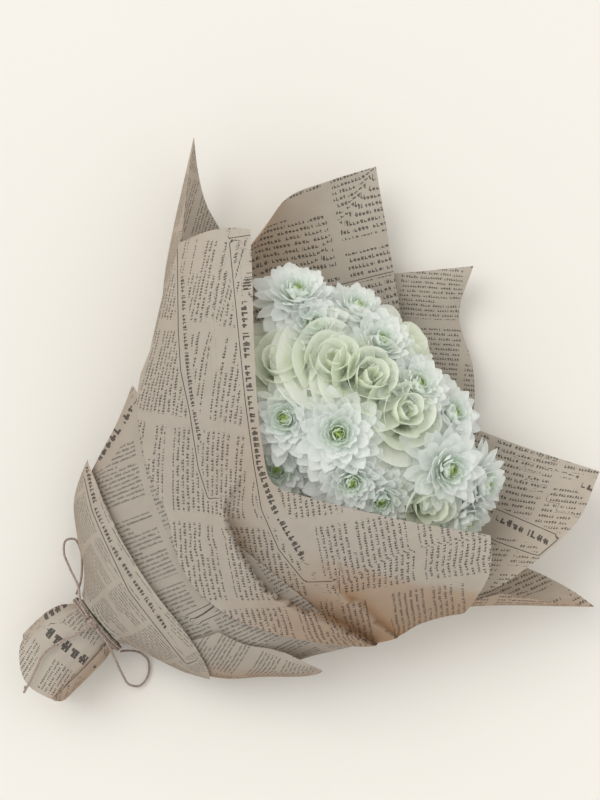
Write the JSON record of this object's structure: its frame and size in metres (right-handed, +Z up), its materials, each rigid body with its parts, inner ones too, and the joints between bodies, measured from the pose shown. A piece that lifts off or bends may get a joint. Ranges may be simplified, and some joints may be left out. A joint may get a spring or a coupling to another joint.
{
  "type": "wrapped flower bouquet",
  "caption": "Hand-tied bouquet of white chrysanthemums and roses in printed kraft paper, lying on its back with twine at the neck.",
  "frame": {"origin": "middle of the footprint, on the floor the bouquet lies on", "axes": "+Z up from the floor through the flowers' open side, +Y along the stems from the handle to the blooms"},
  "size_m": [0.4994, 0.4992, 0.1616],
  "materials": {
    "kraft_paper": "matte",
    "white_petal": "matte",
    "cream_petal": "matte",
    "green_stem": "satin",
    "green_leaf": "satin",
    "twine": "matte"
  },
  "bodies": {
    "root": {"sheet_back_centre": "kraft_paper", "sheet_back_left": "kraft_paper", "sheet_right": "kraft_paper", "sheet_spike_right": "kraft_paper", "sheet_spike_left": "kraft_paper", "sheet_collar_inner": "kraft_paper", "sheet_front_band": "kraft_paper", "sheet_collar_low": "kraft_paper", "sheet_collar_outer": "kraft_paper", "handle_wrap": "kraft_paper", "mum_1": "white_petal", "mum_2": "white_petal", "mum_3": "white_petal", "mum_4": "white_petal", "mum_5": "white_petal", "mum_6": "white_petal", "mum_7": "white_petal", "mum_8": "white_petal", "mum_9": "white_petal", "mum_10": "white_petal", "mum_11": "white_petal", "mum_12": "white_petal", "mum_13": "white_petal", "mum_14": "white_petal", "mum_15": "white_petal", "mum_16": "white_petal", "rose_1": "cream_petal", "rose_2": "cream_petal", "rose_3": "cream_petal", "rose_4": "cream_petal", "rose_5": "cream_petal", "rose_6": "cream_petal", "rose_7": "cream_petal", "rose_8": "cream_petal", "stem_spray_1": "green_stem", "stem_spray_2": "green_stem", "stem_spray_3": "green_stem", "stem_spray_4": "green_stem", "stem_spray_5": "green_stem", "stem_rose_1": "green_stem", "stem_rose_2": "green_stem", "stem_rose_3": "green_stem", "stem_rose_4": "green_stem", "stem_rose_5": "green_stem", "stem_rose_6": "green_stem", "stem_rose_7": "green_stem", "stem_rose_8": "green_stem", "leaf_1": "green_leaf", "leaf_2": "green_leaf", "leaf_3": "green_leaf", "leaf_4": "green_leaf", "twine_binding": "twine", "twine_knot": "twine", "twine_loop_left": "twine", "twine_loop_right": "twine", "twine_tail": "twine"}
  },
  "joints": []
}
